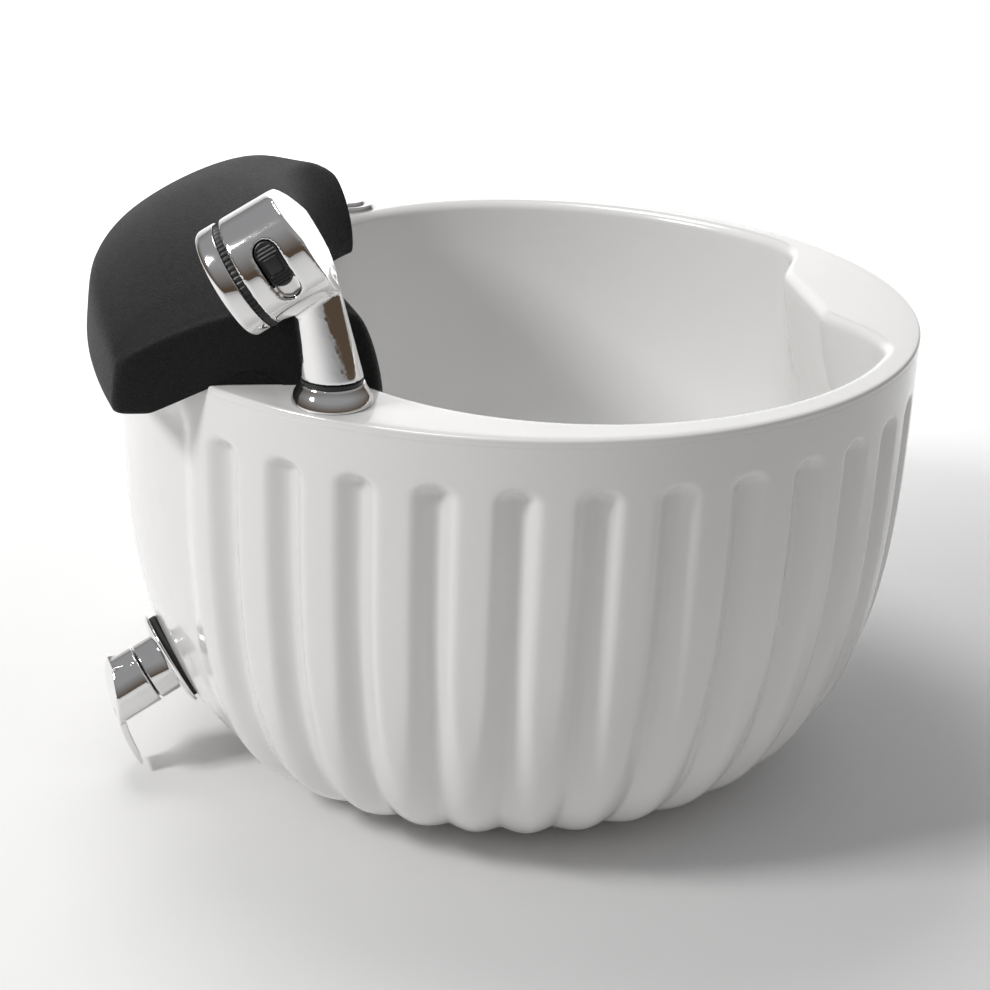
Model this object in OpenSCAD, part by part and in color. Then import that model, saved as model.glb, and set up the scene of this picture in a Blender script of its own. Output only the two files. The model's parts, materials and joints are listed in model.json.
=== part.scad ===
// Foot spa basin: fluted shell, moulded bowl with deck, lift-off footrest pad,
// pull-out hand shower, air button, single-lever mixer and click-clack waste.
// Millimetres. Origin on the floor under the bowl's axis, +Z up, pad at -X.

/* [Basin] */
// Height of the deck above the floor
rim_h = 340; // [300:1:400]
// Radius of the rim
rim_r = 290; // [270:1:340]
// Radius of the shell's underside
base_r = 145; // [130:1:170]
// Wall of the shell and the bowl
wall_t = 4.5; // [3.5:0.5:6]
// Thickness of the deck
deck_t = 5; // [4:0.5:8]
// Height of the bowl's floor above the ground
floor_z = 62; // [58:1:80]
// Radius of the bowl's flat floor
sump_r = 95; // [85:1:110]
// Rounding of the bowl's inner lip
lip_r = 8; // [5:1:10]

/* [Flutes] */
// Number of flute pitches in a full turn
pitches = 37; // [33:1:40]
// Flutes on each side of the middle one
side_flutes = 14; // [12:1:14]
// Depth of a flute
flute_depth = 9; // [5:0.5:10]
// Drop from the deck to the top of a flute
flute_drop = 30; // [26:1:45]
// Depth of the plain recess behind the mixer
recess_depth = 6; // [2:0.5:8]

/* [Wedge] */
// Depth of the wedge's nose in from the rim
nose_inset = 74; // [55:1:90]
// Half angle of the nose
nose_angle = 12; // [8:1:14]
// Half angle where the wedge meets the bowl
flare_angle = 31; // [26:1:36]
// Depth over which the wedge fades out
wedge_fade = 190; // [120:1:220]

/* [Footrest pad] */
// Half length of the pad
pad_half = 192; // [175:1:200]
// Overhang of the pad's outer face past the rim
pad_overhang = 15.5; // [12:0.5:40]
// Draw-in of the outer face at the pad's ends
pad_pull = 30.5; // [22:0.5:36]
// Height of the pad's crest above the deck
pad_h = 76.5; // [60:0.5:110]
// Drop of the outer tab below the deck
tab_drop = 20; // [12:1:35]
// Least thickness of the outer tab
tab_t = 22; // [14:1:30]
// Drop of the inner lip into the bowl
pad_lip_drop = 25; // [15:1:35]
// Thickness of the inner lip
pad_lip_t = 13; // [8:1:18]
// Distance of the locating pegs in from the rim
peg_inset = 40; // [35:1:45]
// Angle of each peg from the pad's middle
peg_angle = 25; // [15:1:30]
// Radius of a peg
peg_r = 5; // [4:0.5:6]

/* [Hand shower] */
// Distance of the shower base in from the rim
shower_inset = 28; // [26:1:30]
// Angle of the shower base, from +X
shower_angle = -123; // [-130:1:-118]
// Radius of the base's flange
shower_flange_r = 25; // [23:0.5:25]
// Height of the base's flange
shower_flange_h = 13; // [10:0.5:18]
// Radius of the handset's tail
tail_r = 12; // [10:0.5:12.5]
// Radius of the shower head
head_r = 35.5; // [28:0.5:38]
// Tilt of the head's axis below level
head_tilt = 32; // [25:1:40]
// Heading of the head, turned from -X
head_turn = -3; // [-15:1:5]

/* [Air button] */
// Distance of the air button in from the rim
button_inset = 25.5; // [25:0.5:28]
// Angle of the air button, from +X
button_angle = 115; // [112:1:125]
// Radius of the button's bezel
bezel_r = 23.5; // [21:0.5:24]
// Radius of the button's cap
button_r = 15.5; // [12:0.5:17]
// Travel of the button
button_travel = 2.5; // [1.5:0.5:2.5]

/* [Mixer] */
// Heading of the mixer, from +X
mixer_angle = 195; // [175:1:198]
// Height of the mixer's middle
mixer_z = 86; // [84:1:100]
// Width of the mixer's wall plate round its neck
plate_margin = 14; // [10:0.5:16]
// Radius of the mixer's neck
neck_r = 22; // [20:0.5:24]
// Gap between the neck and the lever's cap
lever_gap = 1.5; // [1.2:0.1:2]
// Reach of the lever's blade from the mixer's axis
blade_reach = 58; // [45:1:65]
// Width of the lever's blade
blade_w = 20; // [14:1:26]

/* [Waste] */
// Radius of the waste body's thread
waste_r = 21; // [18:0.5:22]

/* [Hidden] */
$fn = 96;

run_gap = 0.05;      // radial clearance of a running fit
fit_gap = 0.5;       // radial clearance of a hole around a shank
seat_gap = 0.3;      // gap between soft or moving faces that meet
soft_gap = 1.5;      // gap between the pad and the walls it hangs beside
foot_h = 3;
foot_r = 10;
foot_place_r = base_r - 16;
flange_hole_r = base_r - 31;
nose_x = rim_r - nose_inset;
peg_place_r = rim_r - peg_inset;
shower_place_r = rim_r - shower_inset;
button_place_r = rim_r - button_inset;
shank_r = tail_r + 3;
plate_r = neck_r + plate_margin;
waste_flange_r = waste_r + 13;
outlet_r = waste_r - 2;
pitch = 360 / pitches;
columns = 6 * pitches;
bowl_columns = 120;
bulge_p = 3.7;       // how straight the wall stands near the rim
bulge_q = 2.1;       // how roundly it turns under
edge = 2;            // rounding of the deck's outer edge
flute_z = rim_h - flute_drop;
plate_t = 10;
support_r = 75;
support_t = 14;

function clamp01(v) = min(1, max(0, v));
function smooth(v) = let(t = clamp01(v)) t * t * (3 - 2 * t);
function mix(a, b, t) = a + (b - a) * t;
function wrap(a) = a > 180 ? a - 360 : a;

// Faces of a closed band of rings, each ring joined to the next and the last to the first.
function band_faces(rings, n) = [
    for (j = [0:rings - 1], i = [0:n - 1])
        let(j2 = (j + 1) % rings, i2 = (i + 1) % n)
            [j * n + i, j2 * n + i, j2 * n + i2, j * n + i2]
];

// Faces of a tube of rings with a flat cap at each end.
function tube_faces(rings, n) = concat(
    [for (j = [0:rings - 2], i = [0:n - 1])
        let(i2 = (i + 1) % n)
            [j * n + i, (j + 1) * n + i, (j + 1) * n + i2, j * n + i2]],
    [[for (i = [0:n - 1]) i]],
    [[for (i = [n - 1:-1:0]) (rings - 1) * n + i]]
);

// ---- walls of revolution and what is pressed into them

function wall_at(z) =
    let(s = clamp01((z - foot_h) / (rim_h - foot_h)))
        base_r + (rim_r - base_r) * pow(1 - pow(1 - s, bulge_p), 1 / bulge_q);

// Depth of the flutes at an angle and height, narrow and deep above, wide and shallow below.
function flute_at(a, z) =
    let(
        k = round(a / pitch),
        u = a / pitch - k,
        low = 1 - smooth((z - foot_h) / 110),
        share = mix(0.62, 0.95, low),
        depth = flute_depth * mix(1, 0.6, low) * smooth((flute_z - z) / 14)
    )
        abs(k) <= side_flutes && abs(u) < share / 2 ? depth * pow(cos(180 * u / share), 2) : 0;

// The plain recess between the last flutes.
function recess_at(a, z) =
    let(edge_angle = (side_flutes + 0.5) * pitch)
        recess_depth * smooth((abs(a) - edge_angle) / 5) * smooth((rim_h - 10 - z) / 30)
            * smooth((z - foot_h) / 60 + 0.2);

function shell_r(a, z) = wall_at(z) - flute_at(a, z) - recess_at(a, z);

// Radius of the bowl's opening, egg-shaped with its wide end away from the pad.
function open_at(a) =
    rim_r * (0.814 + 0.172 * cos(a) - 0.071 * cos(2 * a) + 0.016 * cos(3 * a));

function wedge_at(a, z) =
    (1 - smooth((abs(a) - nose_angle) / (flare_angle - nose_angle)))
        * (1 - smooth((rim_h - z) / wedge_fade));

function bowl_top(a, z) =
    let(k = wedge_at(a, z))
        k > 0 ? mix(open_at(a), nose_x / cos(a), k) : open_at(a);

function bowl_r(a, z) =
    let(s = clamp01((z - floor_z) / (rim_h - lip_r - floor_z)))
        sump_r + (bowl_top(a, z) - sump_r) * pow(1 - pow(1 - s, 3.2), 0.5);

// X of the opening's edge on the pad side, at a distance y from the middle plane.
function edge_angle_at(y, lo = 90, hi = 180, n = 14) =
    let(m = (lo + hi) / 2)
        n == 0 ? m
        : open_at(m) * sin(m) > y ? edge_angle_at(y, m, hi, n - 1)
        : edge_angle_at(y, lo, m, n - 1);

function open_x(y) =
    let(a = edge_angle_at(abs(y)))
        open_at(a) * cos(a);

function at_angle(r, a, z) = [r * cos(a), r * sin(a), z];

// ---- shell, bowl and base

shell_top = rim_h - deck_t;
shell_rows = concat(
    [for (i = [0:11]) foot_h + (flute_z - 14 - foot_h) * pow(i / 11, 1.7)],
    [flute_z - 7, flute_z + 1, shell_top]
);
lining_rows = [for (i = [7:-1:0]) foot_h + wall_t + (shell_top - foot_h - wall_t) * pow(i / 7, 1.6)];

module outer_shell() {
    rings = concat(
        [for (z = shell_rows) [for (i = [0:columns - 1])
            let(a = wrap(i * 360 / columns)) at_angle(shell_r(a, z), a, z)]],
        [for (z = lining_rows) [for (i = [0:columns - 1])
            let(a = wrap(i * 360 / columns)) at_angle(shell_r(a, z - wall_t) - wall_t, a, z)]],
        [for (z = [foot_h + wall_t, foot_h]) [for (i = [0:columns - 1])
            at_angle(flange_hole_r, i * 360 / columns, z)]]
    );
    color("white") difference() {
        polyhedron([for (r = rings) each r], band_faces(len(rings), columns), 4);
        at_mixer() translate([0, 0, -30]) cylinder(r = neck_r - 2 + fit_gap, h = 60);
    }
}

bowl_rows = [for (i = [9:-1:1]) floor_z + (rim_h - lip_r - floor_z) * pow(i / 10, 1.5)];
under_rows = [for (i = [1:8])
    floor_z - wall_t + (rim_h - deck_t - floor_z + wall_t) * pow(i / 8, 1.5)];

module inner_bowl() {
    angles = [for (i = [0:bowl_columns - 1]) wrap(i * 360 / bowl_columns)];
    rings = concat(
        [[for (a = angles) at_angle(rim_r, a, rim_h - deck_t)]],
        [[for (a = angles) at_angle(rim_r, a, rim_h - edge)]],
        [[for (a = angles) at_angle(rim_r - edge, a, rim_h)]],
        [for (t = [0:30:90]) [for (a = angles)
            at_angle(bowl_top(a, rim_h) + lip_r * (1 - sin(t)), a, rim_h - lip_r * (1 - cos(t)))]],
        [for (z = bowl_rows) [for (a = angles) at_angle(bowl_r(a, z), a, z)]],
        [[for (a = angles) at_angle(sump_r, a, floor_z)]],
        [for (z = [floor_z, floor_z - wall_t]) [for (a = angles) at_angle(waste_r + fit_gap, a, z)]],
        [[for (a = angles) at_angle(sump_r, a, floor_z - wall_t)]],
        [for (z = under_rows) [for (a = angles)
            at_angle(bowl_r(a, z + wall_t) + wall_t, a, z)]]
    );
    color("whitesmoke") difference() {
        polyhedron([for (r = rings) each r], band_faces(len(rings), bowl_columns), 4);
        at_shower() deck_hole(shank_r + fit_gap);
        at_button() deck_hole(button_shank_r + fit_gap);
        for (s = [-1, 1]) at_peg(s) deck_hole(peg_r + 3 + fit_gap);
    }
}

module deck_hole(r) {
    translate([0, 0, -2 * deck_t]) cylinder(r = r, h = 3 * deck_t);
}

module at_shower() {
    rotate([0, 0, shower_angle]) translate([shower_place_r, 0, rim_h]) rotate([0, 0, -shower_angle])
        children();
}

module at_button() {
    rotate([0, 0, button_angle]) translate([button_place_r, 0, rim_h]) children();
}

module at_peg(side) {
    rotate([0, 0, 180 + side * peg_angle]) translate([peg_place_r, 0, rim_h]) children();
}

module base_plate() {
    color("burlywood") translate([0, 0, foot_h + wall_t]) difference() {
        cylinder(r = base_r - wall_t - flute_depth - 1, h = plate_t);
        translate([0, 0, -1]) cylinder(r = outlet_r + 26, h = plate_t + 2);
    }
}

module base_feet() {
    color("dimgray") for (i = [0:3]) rotate([0, 0, 45 + 90 * i])
        translate([foot_place_r, 0, 0]) cylinder(r = foot_r, h = foot_h);
}

module bowl_support() {
    z0 = foot_h + wall_t + plate_t;
    color("burlywood") translate([0, 0, z0]) difference() {
        cylinder(r = support_r, h = floor_z - wall_t - z0);
        translate([0, 0, -1]) cylinder(r = support_r - support_t, h = floor_z);
    }
}

// ---- waste

waste_low = 34;
bridge_z = floor_z - 16;
stem_r = 4;

module waste_body() {
    color("silver") difference() {
        union() {
            translate([0, 0, floor_z]) cylinder(r1 = waste_flange_r, r2 = waste_flange_r - 3, h = 2);
            translate([0, 0, waste_low]) cylinder(r = waste_r, h = floor_z - waste_low);
        }
        translate([0, 0, bridge_z + 5]) cylinder(r = waste_r - 3, h = floor_z);
        translate([0, 0, waste_low - 1]) cylinder(r = outlet_r - 1 + fit_gap, h = bridge_z - waste_low + 1);
        for (i = [0:3]) rotate([0, 0, 45 + 90 * i])
            translate([stem_r + 6.5, 0, bridge_z - 1]) cylinder(r = 4.5, h = 7);
        cylinder(r = stem_r + run_gap, h = floor_z);
    }
}

module waste_gasket() {
    color("black") translate([0, 0, floor_z - wall_t - 3]) ring(waste_r + fit_gap, waste_r + 10, 3);
}

module waste_nut() {
    color("dimgray") translate([0, 0, floor_z - wall_t - 10]) difference() {
        cylinder(r = waste_r + 11, h = 7, $fn = 8);
        translate([0, 0, -1]) cylinder(r = waste_r + run_gap, h = 9);
    }
}

module waste_tailpiece() {
    color("white") difference() {
        union() {
            cylinder(r = outlet_r, h = waste_low - 6.5);
            cylinder(r = outlet_r - 0.3, h = waste_low);
            translate([0, 0, waste_low]) cylinder(r = outlet_r - 1, h = 8);
            translate([0, 0, waste_low - 3]) cylinder(r = waste_r, h = 3);
        }
        translate([0, 0, -1]) cylinder(r = outlet_r - 3.5, h = 60);
    }
}

module waste_union_nut() {
    color("dimgray") translate([0, 0, waste_low - 6]) difference() {
        cylinder(r = waste_r + 5, h = 12);
        translate([0, 0, -1]) cylinder(r = outlet_r + run_gap, h = 14);
        translate([0, 0, 3 - run_gap]) cylinder(r = waste_r + run_gap, h = 14);
    }
}

module waste_plug() {
    color("silver") {
        translate([0, 0, floor_z + 4]) cylinder(r1 = waste_flange_r - 3, r2 = waste_flange_r - 6, h = 3);
        translate([0, 0, bridge_z - 6]) cylinder(r = stem_r, h = floor_z - bridge_z + 11);
    }
}

module plug_seal() {
    color("black") translate([0, 0, floor_z + 2 + seat_gap])
        ring(waste_r - 2, waste_flange_r - 5, 2 - seat_gap);
}

module ring(r_in, r_out, h) {
    difference() {
        cylinder(r = r_out, h = h);
        translate([0, 0, -1]) cylinder(r = r_in, h = h + 2);
    }
}

// ---- hand shower

bush_flange_h = 2.5;
shank_drop = 32;
bush_drop = 24;
tail_drop = 26;
connector_h = 12;
riser_r = 6.5;
riser_len = 110;
post_z = shower_flange_h + bush_flange_h;
face_pos = [-62, 0, 72];
face_ring_t = 12;
knurl_t = 4.5;
body_start = face_ring_t + knurl_t;
switch_place = 36;
slot_len = 39;
slot_w = 15;
switch_travel = 8;

module shower_base() {
    color("silver") at_shower() difference() {
        union() {
            rotate_extrude() polygon([
                [0, 0], [shower_flange_r, 0], [shower_flange_r, 1.5], [shower_flange_r - 0.8, 4],
                [shower_flange_r - 3, 7.5], [shower_flange_r - 5.2, 11],
                [shower_flange_r - 5.6, shower_flange_h], [0, shower_flange_h]
            ]);
            translate([0, 0, -shank_drop]) cylinder(r = shank_r, h = shank_drop);
        }
        translate([0, 0, -shank_drop - 1]) cylinder(r = tail_r + 1.5 + run_gap, h = 60);
    }
}

module shower_gasket() {
    color("black") at_shower() translate([0, 0, -deck_t - 2]) ring(shank_r + fit_gap, shank_r + 5, 2);
}

module shower_nut() {
    color("dimgray") at_shower() translate([0, 0, -deck_t - 10]) difference() {
        cylinder(r = shank_r + 5.5, h = 8, $fn = 6);
        translate([0, 0, -1]) cylinder(r = shank_r + run_gap, h = 10);
    }
}

module swivel_bush() {
    color("black") at_shower() difference() {
        union() {
            translate([0, 0, shower_flange_h]) cylinder(r = shower_flange_r - 6, h = bush_flange_h);
            translate([0, 0, -bush_drop]) cylinder(r = tail_r + 1.5, h = bush_drop + shower_flange_h);
        }
        translate([0, 0, -bush_drop - 1]) cylinder(r = tail_r + run_gap, h = 60);
    }
}

module at_handset() {
    at_shower() rotate([0, 0, head_turn]) children();
}

// Local frame of the head: +Z from the face back along its axis, +X down across the face.
module at_head() {
    at_handset() translate(face_pos) rotate([0, 90 - head_tilt, 0]) children();
}

// Side view of the post and head, x along the handset's heading and y upwards.
spine = [[19, post_z], [16.5, 40], [8, 65], [-3, 87], [-17, 110], [-35, 128]];

module handset_body() {
    color("silver") difference() {
        union() {
            at_handset() hull() {
                translate([0, 0, post_z]) scale([1.03, 1, 1]) cylinder(r = 18.5, h = 1, $fn = 32);
                translate([-12, 0, 80]) cylinder(r = 14, h = 1, $fn = 32);
            }
            intersection() {
                at_head() translate([0, 0, body_start]) cylinder(r = head_r, h = 62);
                at_handset() rotate([90, 0, 0]) translate([0, 0, -head_r]) linear_extrude(2 * head_r)
                    polygon(concat(spine, [[-100, 128], [-100, 0], [-40, 0], [-24, 50], [-20, post_z]]));
            }
        }
        at_head() translate([0, 0, body_start - 1]) cylinder(r = head_r - 6, h = 9);
        at_head() switch_slot(slot_len, slot_w, 40);
        at_handset() cylinder(r = tail_r - 3, h = post_z + 14);
    }
}

// An oblong block on the head's near side, lying across the axis.
module switch_slot(length, width, reach) {
    translate([0, -head_r + 9, switch_place]) rotate([90, 0, 0])
        linear_extrude(reach) {
            square([length - width, width], center = true);
            for (s = [-1, 1]) translate([s * (length - width) / 2, 0]) circle(r = width / 2);
        }
}

module handset_switch() {
    color("black") intersection() {
        at_head() translate([-switch_travel / 2, 0, 0])
            switch_slot(slot_len - switch_travel - 1, slot_w - 0.6, 40);
        at_head() difference() {
            cylinder(r = head_r - 1.5, h = 80);
            translate([0, -head_r + 9 - seat_gap + head_r, 0]) cube([3 * head_r, 2 * head_r, 200], center = true);
        }
    }
}

module handset_face_ring() {
    color("silver") at_head() difference() {
        union() {
            cylinder(r1 = head_r - 1, r2 = head_r, h = 2);
            translate([0, 0, 2]) cylinder(r = head_r, h = face_ring_t - 2);
        }
        translate([0, 0, -1]) cylinder(r = head_r - 4, h = face_ring_t + 2);
    }
}

module spray_plate() {
    color("gainsboro") at_head() {
        translate([0, 0, 2]) cylinder(r = head_r - 4 - run_gap, h = 5);
        for (k = [1:3], i = [0:8 * k - 1]) rotate([0, 0, i * 45 / k])
            translate([k * 8.5, 0, 0.8]) cylinder(r = 1.1, h = 1.5, $fn = 16);
    }
}

module knurled_ring() {
    color("black") at_head() translate([0, 0, face_ring_t]) ring(head_r - 6, head_r - 1, knurl_t);
}

module handset_tail() {
    color("silver") at_handset() translate([0, 0, -tail_drop]) difference() {
        union() {
            cylinder(r = tail_r, h = tail_drop + post_z);
            translate([0, 0, tail_drop + post_z]) cylinder(r = tail_r - 3 - run_gap, h = 12);
        }
        translate([0, 0, -1]) cylinder(r = riser_r - 1, h = 80);
    }
}

module hose_connector() {
    color("goldenrod") at_handset() translate([0, 0, -tail_drop - connector_h]) {
        cylinder(r = 10, h = connector_h, $fn = 6);
        cylinder(r = riser_r - 1 - run_gap, h = connector_h + 10);
    }
}

module riser_hose() {
    color("lightgray") at_handset() translate([0, 0, -tail_drop - connector_h - riser_len])
        cylinder(r = riser_r, h = riser_len);
}

// ---- hose from the mixer to the riser, held all the way inside the shell

function rot_y(p, a) = [p[0] * cos(a) + p[2] * sin(a), p[1], -p[0] * sin(a) + p[2] * cos(a)];
function rot_z(p, a) = [p[0] * cos(a) - p[1] * sin(a), p[0] * sin(a) + p[1] * cos(a), p[2]];
function mixer_point(p) = rot_z([mixer_seat_r, 0, mixer_z] + rot_y(p, 90 + mixer_tilt), mixer_angle);

mixer_tilt = 27;
mixer_seat_r = wall_at(mixer_z) - recess_depth + 1;
outlet_place = -31;
riser_low = rim_h - tail_drop - connector_h - riser_len;
hose_points = [
    at_angle(shower_place_r, shower_angle, riser_low - 1),
    at_angle(shower_place_r - 1, shower_angle, riser_low - 20),
    at_angle(shower_place_r - 6, shower_angle - 3, riser_low - 42),
    at_angle(shower_place_r - 16, shower_angle - 9, riser_low - 62),
    at_angle(shower_place_r - 28, shower_angle - 17, riser_low - 78),
    at_angle(shower_place_r - 42, shower_angle - 26, riser_low - 88),
    mixer_point([0, 62, outlet_place]),
    mixer_point([0, 44, outlet_place])
];

// Point at t along a smooth curve through the hose's points.
function spline(p, t) =
    let(
        n = len(p) - 1,
        i = min(n - 1, floor(t * n)),
        u = t * n - i,
        p0 = p[max(0, i - 1)],
        p1 = p[i],
        p2 = p[i + 1],
        p3 = p[min(n, i + 2)]
    )
        0.5 * (2 * p1 + (p2 - p0) * u + (2 * p0 - 5 * p1 + 4 * p2 - p3) * u * u
            + (3 * p1 - p0 - 3 * p2 + p3) * u * u * u);

function unit(v) = v / norm(v);

module mixer_hose() {
    count = 28;
    sides = 10;
    path = [for (i = [0:count]) spline(hose_points, i / count)];
    rings = [for (i = [0:count])
        let(
            d = unit(path[min(count, i + 1)] - path[max(0, i - 1)]),
            side = unit(cross(d, [0.3, 0.2, 0.1])),
            up = cross(d, side)
        )
            [for (k = [0:sides - 1])
                path[i] + riser_r * (side * cos(360 * k / sides) + up * sin(360 * k / sides))]];
    color("lightgray") polyhedron([for (r = rings) each r], tube_faces(count + 1, sides), 4);
}

// ---- air button

button_shank_drop = 30;
button_shank_r = 15;
bellows_h = 26;
bezel_h = 4.2;
cap_z = bezel_h - 0.5;
spring_low = -20;
spring_wire = 0.7;

module button_bezel() {
    color("silver") at_button() difference() {
        union() {
            cylinder(r1 = bezel_r, r2 = bezel_r - 1.5, h = bezel_h);
            translate([0, 0, -button_shank_drop]) cylinder(r = button_shank_r, h = button_shank_drop);
        }
        translate([0, 0, cap_z - button_travel - seat_gap]) cylinder(r = button_r + run_gap, h = 10);
        translate([0, 0, spring_low]) cylinder(r = button_shank_r - 3, h = 30);
        translate([0, 0, -button_shank_drop - 1]) cylinder(r = 8, h = 60);
    }
}

module button_gasket() {
    color("black") at_button() translate([0, 0, -deck_t - 2]) ring(button_shank_r + fit_gap, button_shank_r + 5, 2);
}

module button_nut() {
    color("dimgray") at_button() translate([0, 0, -deck_t - 10]) difference() {
        cylinder(r = button_shank_r + 5.5, h = 8, $fn = 6);
        translate([0, 0, -1]) cylinder(r = button_shank_r + run_gap, h = 10);
    }
}

module button_cap() {
    color("silver") at_button() {
        translate([0, 0, cap_z]) cylinder(r = button_r, h = 2);
        translate([0, 0, cap_z + 2]) cylinder(r1 = button_r, r2 = button_r - 1.2, h = 0.8);
        translate([0, 0, cap_z - 17]) cylinder(r = 5, h = 17);
    }
}

// Turns of the return spring, stacked as plain rings between the cap and the ledge.
module button_spring() {
    turns = 5;
    rise = (cap_z - spring_low - 2 * spring_wire - 0.2) / (turns - 1);
    color("silver") at_button() for (i = [0:turns - 1])
        translate([0, 0, spring_low + spring_wire + 0.1 + i * rise])
            rotate_extrude() translate([9.5, 0]) circle(r = spring_wire, $fn = 24);
}

module air_bellows() {
    color("black") at_button() translate([0, 0, -button_shank_drop - bellows_h]) {
        cylinder(r = 3, h = 10);
        translate([0, 0, 10]) cylinder(r = 10, h = bellows_h - 10);
        translate([0, 0, bellows_h]) cylinder(r = 7.5, h = 12);
    }
}

// ---- mixer

cartridge_r = neck_r - 4.5;
plate_t_mixer = 5;
neck_len = 20;
body_back = -46;
hinge_x = -17;
cap_low = neck_len + lever_gap;
hinge_z = cap_low + 4;
hinge_r = 2;
hinge_len = 24;
arm_z = neck_len + 0.4;
arm_t = 2;
lug_w = 6;
blade_peak = 59.6;
blade_t = 4;

// Local frame of the mixer: +Z out of the wall, +X down along it.
module at_mixer() {
    rotate([0, 0, mixer_angle]) translate([mixer_seat_r, 0, mixer_z]) rotate([0, 90 + mixer_tilt, 0])
        children();
}

module mixer_gasket() {
    color("black") at_mixer() translate([0, 0, -4]) ring(neck_r - 2 + fit_gap, plate_r - 4, 4);
}

module mixer_plate() {
    color("silver") at_mixer() difference() {
        union() {
            cylinder(r = plate_r, h = 1.5);
            translate([0, 0, 1.5]) cylinder(r1 = plate_r, r2 = plate_r - 5, h = plate_t_mixer - 1.5);
        }
        translate([0, 0, -1]) cylinder(r = neck_r - 2 + run_gap, h = 10);
    }
}

module mixer_body() {
    color("silver") at_mixer() difference() {
        union() {
            translate([0, 0, plate_t_mixer]) cylinder(r = neck_r, h = neck_len - plate_t_mixer);
            translate([0, 0, body_back]) cylinder(r = neck_r - 2, h = plate_t_mixer - body_back);
        }
        translate([0, 0, -12]) cylinder(r = cartridge_r + run_gap, h = 60);
        for (s = [-1, 1]) translate([0, s * 9.5, body_back - 1]) cylinder(r = 5.5, h = 12);
        translate([0, 8, outlet_place]) rotate([-90, 0, 0]) cylinder(r = 5.5, h = 20);
    }
}

module mixer_locknut() {
    color("goldenrod") at_mixer() translate([0, 0, -22]) difference() {
        cylinder(r = neck_r + 7, h = 7, $fn = 6);
        translate([0, 0, -1]) cylinder(r = neck_r - 2 + run_gap, h = 9);
    }
}

module mixer_cartridge() {
    color("ivory") at_mixer() difference() {
        translate([0, 0, -12]) cylinder(r = cartridge_r, h = 24);
        translate([0, 0, 2]) cylinder(r = 12 + run_gap, h = 20);
    }
}

module cartridge_ring() {
    color("silver") at_mixer() translate([0, 0, 12]) ring(13, cartridge_r, 5);
}

module cartridge_rotor() {
    color("dimgray") at_mixer() difference() {
        union() {
            translate([0, 0, 2]) cylinder(r = 12, h = arm_z + arm_t - 2);
            translate([hinge_x - 1.2, -lug_w / 2, arm_z]) cube([4 - hinge_x, lug_w, arm_t]);
            translate([hinge_x - 1.2, -lug_w / 2, arm_z]) cube([lug_w / 2 + 1.2, lug_w, hinge_z - arm_z]);
            translate([hinge_x, 0, hinge_z]) rotate([90, 0, 0])
                cylinder(r = lug_w / 2, h = lug_w, center = true);
        }
        hinge_rod(hinge_r + run_gap, hinge_len);
    }
}

module lever_pin() {
    color("silver") at_mixer() hinge_rod(hinge_r, hinge_len);
}

module hinge_rod(r, length) {
    translate([hinge_x, 0, hinge_z]) rotate([90, 0, 0]) cylinder(r = r, h = length, center = true);
}

// Height of the lever's back over the wall plate, from rear edge to tip.
function lever_top(x) = blade_peak - 0.0039 * pow(x - blade_reach + 8, 2);

module lever_side(low) {
    top = [for (x = [-neck_r - 1:5:blade_reach]) [x, lever_top(x)]];
    polygon(concat(top, [[blade_reach, lever_top(blade_reach)], [blade_reach, lever_top(blade_reach) - 2]],
        low));
}

module mixer_lever() {
    blade_under = [for (x = [blade_reach - 10:-8:0]) [x, lever_top(x) - blade_t - (blade_reach - x) * 0.03]];
    color("silver") at_mixer() difference() {
        union() {
            intersection() {
                translate([0, 0, cap_low]) cylinder(r = neck_r + 0.5, h = 60);
                rotate([90, 0, 0]) translate([0, 0, -neck_r - 1]) linear_extrude(2 * neck_r + 2)
                    lever_side([[blade_reach, 0], [-neck_r - 1, 0]]);
            }
            rotate([90, 0, 0]) translate([0, 0, -blade_w / 2]) linear_extrude(blade_w)
                lever_side(concat(blade_under, [[-10, 30], [-neck_r + 2, 30]]));
        }
        translate([0, 0, cap_low - 1]) cylinder(r = neck_r - 2, h = 12);
        translate([hinge_x - lug_w / 2 - 0.3, -lug_w / 2 - 1, cap_low - 1])
            cube([24, lug_w + 2, hinge_z + 6 - cap_low]);
        hinge_rod(hinge_r + run_gap, hinge_len + 0.4);
        translate([14, 0, 40]) cylinder(r = 3 + run_gap, h = 30);
    }
}

module lever_index() {
    color("royalblue") at_mixer() intersection() {
        translate([14, 0, 40]) cylinder(r = 3, h = 30);
        rotate([90, 0, 0]) translate([0, 0, -5]) linear_extrude(10)
            lever_side([[blade_reach, 0], [-neck_r - 1, 0]]);
    }
}

module inlet(side) {
    at_mixer() translate([0, side * 9.5, body_back - 26]) {
        cylinder(r = 8.33, h = 14);
        translate([0, 0, 14]) cylinder(r = 5.45, h = 18);
    }
}

module hot_inlet() {
    color("goldenrod") inlet(-1);
}

module cold_inlet() {
    color("goldenrod") inlet(1);
}

module shower_outlet() {
    color("goldenrod") at_mixer() translate([0, neck_r - 12, outlet_place]) rotate([-90, 0, 0]) {
        cylinder(r = 5.45, h = 12);
        translate([0, 0, 12]) cylinder(r = 9, h = 12, $fn = 6);
        translate([0, 0, 24]) cylinder(r = riser_r, h = 10);
    }
}

// ---- footrest pad

pad_stations = 24;
plate_h = 3.5;
peg_len = 9;

// Height of the pad's crest above the deck, falling towards both ends.
function crest_at(y) = pad_h * (1 - 0.22 * pow(abs(y) / pad_half, 2));

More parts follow.
